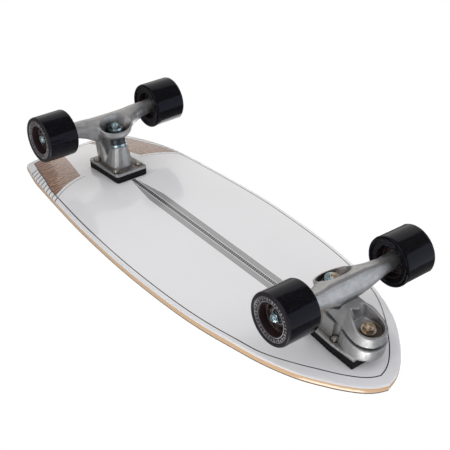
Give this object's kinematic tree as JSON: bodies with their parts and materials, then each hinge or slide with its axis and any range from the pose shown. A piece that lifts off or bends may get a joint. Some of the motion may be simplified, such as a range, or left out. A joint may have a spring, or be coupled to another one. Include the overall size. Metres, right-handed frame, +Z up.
{
  "type": "surf skateboard",
  "caption": "Short wide surf-style skateboard: pointed nose, kicked tail, white underside with stripes, a front truck whose hanger rides on a sprung swing arm, a fixed rear truck.",
  "frame": {"origin": "on the ground under the middle of the deck's length", "axes": "+Z up with the wheels on Z = 0, nose along -Y, the rider's left when facing the nose along +X"},
  "size_m": [0.2736, 0.746, 0.1537],
  "materials": {
    "maple": "clear lacquered maple plies, white sheet underneath",
    "grip": "coarse grit sheet",
    "cast_aluminium": "tumbled casting, satin",
    "riser_rubber": "matt black",
    "zinc_steel": "bright zinc plated",
    "gold_zinc": "yellow zinc plated",
    "bush_urethane": "dark blue-black urethane",
    "wheel_urethane": "smoke-black urethane, glossy",
    "core_nylon": "dark moulded nylon",
    "spring_steel": "plain spring steel",
    "black_steel": "blackened"
  },
  "bodies": {
    "board": {"deck": "maple", "grip_tape": "grip", "front_riser": "riser_rubber", "front_baseplate": "cast_aluminium", "return_spring": "spring_steel", "spring_rod": "zinc_steel", "spring_plug": "black_steel", "front_right_outer_deck_bolt": "zinc_steel", "front_right_inner_deck_bolt": "zinc_steel", "front_left_outer_deck_bolt": "zinc_steel", "front_left_inner_deck_bolt": "zinc_steel", "swing_bolt": "gold_zinc", "swing_bolt_nut": "gold_zinc", "swing_bolt_washer": "gold_zinc", "swing_thrust_bearing": "black_steel", "rear_riser": "riser_rubber", "rear_baseplate": "cast_aluminium", "rear_left_outer_deck_bolt": "zinc_steel", "rear_left_inner_deck_bolt": "zinc_steel", "rear_right_outer_deck_bolt": "zinc_steel", "rear_right_inner_deck_bolt": "zinc_steel", "rear_lower_bushing": "bush_urethane", "rear_upper_bushing": "bush_urethane", "rear_lower_cup_washer": "zinc_steel", "rear_upper_cup_washer": "zinc_steel", "rear_kingpin": "zinc_steel", "rear_kingpin_nut": "zinc_steel", "rear_pivot_cup": "bush_urethane"},
    "swing_arm": {"swing_arm": "cast_aluminium", "front_lower_bushing": "bush_urethane", "front_upper_bushing": "bush_urethane", "front_lower_cup_washer": "zinc_steel", "front_upper_cup_washer": "zinc_steel", "front_kingpin": "gold_zinc", "front_kingpin_nut": "zinc_steel", "front_pivot_cup": "bush_urethane"},
    "front_hanger": {"front_hanger": "cast_aluminium", "front_axle": "zinc_steel", "front_left_axle_nut": "zinc_steel", "front_right_axle_nut": "zinc_steel"},
    "rear_hanger": {"rear_hanger": "cast_aluminium", "rear_axle": "zinc_steel", "rear_left_axle_nut": "zinc_steel", "rear_right_axle_nut": "zinc_steel"},
    "front_left_wheel": {"front_left_tyre": "wheel_urethane", "front_left_wheel_core": "core_nylon", "front_left_outer_bearing": "black_steel", "front_left_inner_bearing": "black_steel"},
    "front_right_wheel": {"front_right_tyre": "wheel_urethane", "front_right_wheel_core": "core_nylon", "front_right_outer_bearing": "black_steel", "front_right_inner_bearing": "black_steel"},
    "rear_left_wheel": {"rear_left_tyre": "wheel_urethane", "rear_left_wheel_core": "core_nylon", "rear_left_outer_bearing": "black_steel", "rear_left_inner_bearing": "black_steel"},
    "rear_right_wheel": {"rear_right_tyre": "wheel_urethane", "rear_right_wheel_core": "core_nylon", "rear_right_outer_bearing": "black_steel", "rear_right_inner_bearing": "black_steel"}
  },
  "joints": [
    {"name": "arm_swing", "type": "hinge", "parent": "board", "child": "swing_arm", "pos_m": [0, -0.3265, 0.0883], "axis": [0, 0.1736, 0.9848], "range_deg": [-30, 30], "stiffness_Nm_per_rad": 20},
    {"name": "front_steer", "type": "hinge", "parent": "swing_arm", "child": "front_hanger", "pos_m": [0, -0.2585, 0.0545], "axis": [0, 0.9563, -0.2924], "range_deg": [-12, 12], "stiffness_Nm_per_rad": 40, "deforming": ["front_lower_bushing", "front_upper_bushing"]},
    {"name": "rear_steer", "type": "hinge", "parent": "board", "child": "rear_hanger", "pos_m": [0, 0.2265, 0.0545], "axis": [0, -0.9563, -0.2924], "range_deg": [-12, 12], "stiffness_Nm_per_rad": 40, "deforming": ["rear_lower_bushing", "rear_upper_bushing"]},
    {"name": "front_left_wheel_spin", "type": "hinge", "parent": "front_hanger", "child": "front_left_wheel", "pos_m": [0.0975, -0.2835, 0.035], "axis": [1, 0, 0], "continuous": true},
    {"name": "front_right_wheel_spin", "type": "hinge", "parent": "front_hanger", "child": "front_right_wheel", "pos_m": [-0.0975, -0.2835, 0.035], "axis": [1, 0, 0], "continuous": true},
    {"name": "rear_left_wheel_spin", "type": "hinge", "parent": "rear_hanger", "child": "rear_left_wheel", "pos_m": [0.0975, 0.2515, 0.035], "axis": [1, 0, 0], "continuous": true},
    {"name": "rear_right_wheel_spin", "type": "hinge", "parent": "rear_hanger", "child": "rear_right_wheel", "pos_m": [-0.0975, 0.2515, 0.035], "axis": [1, 0, 0], "continuous": true}
  ]
}
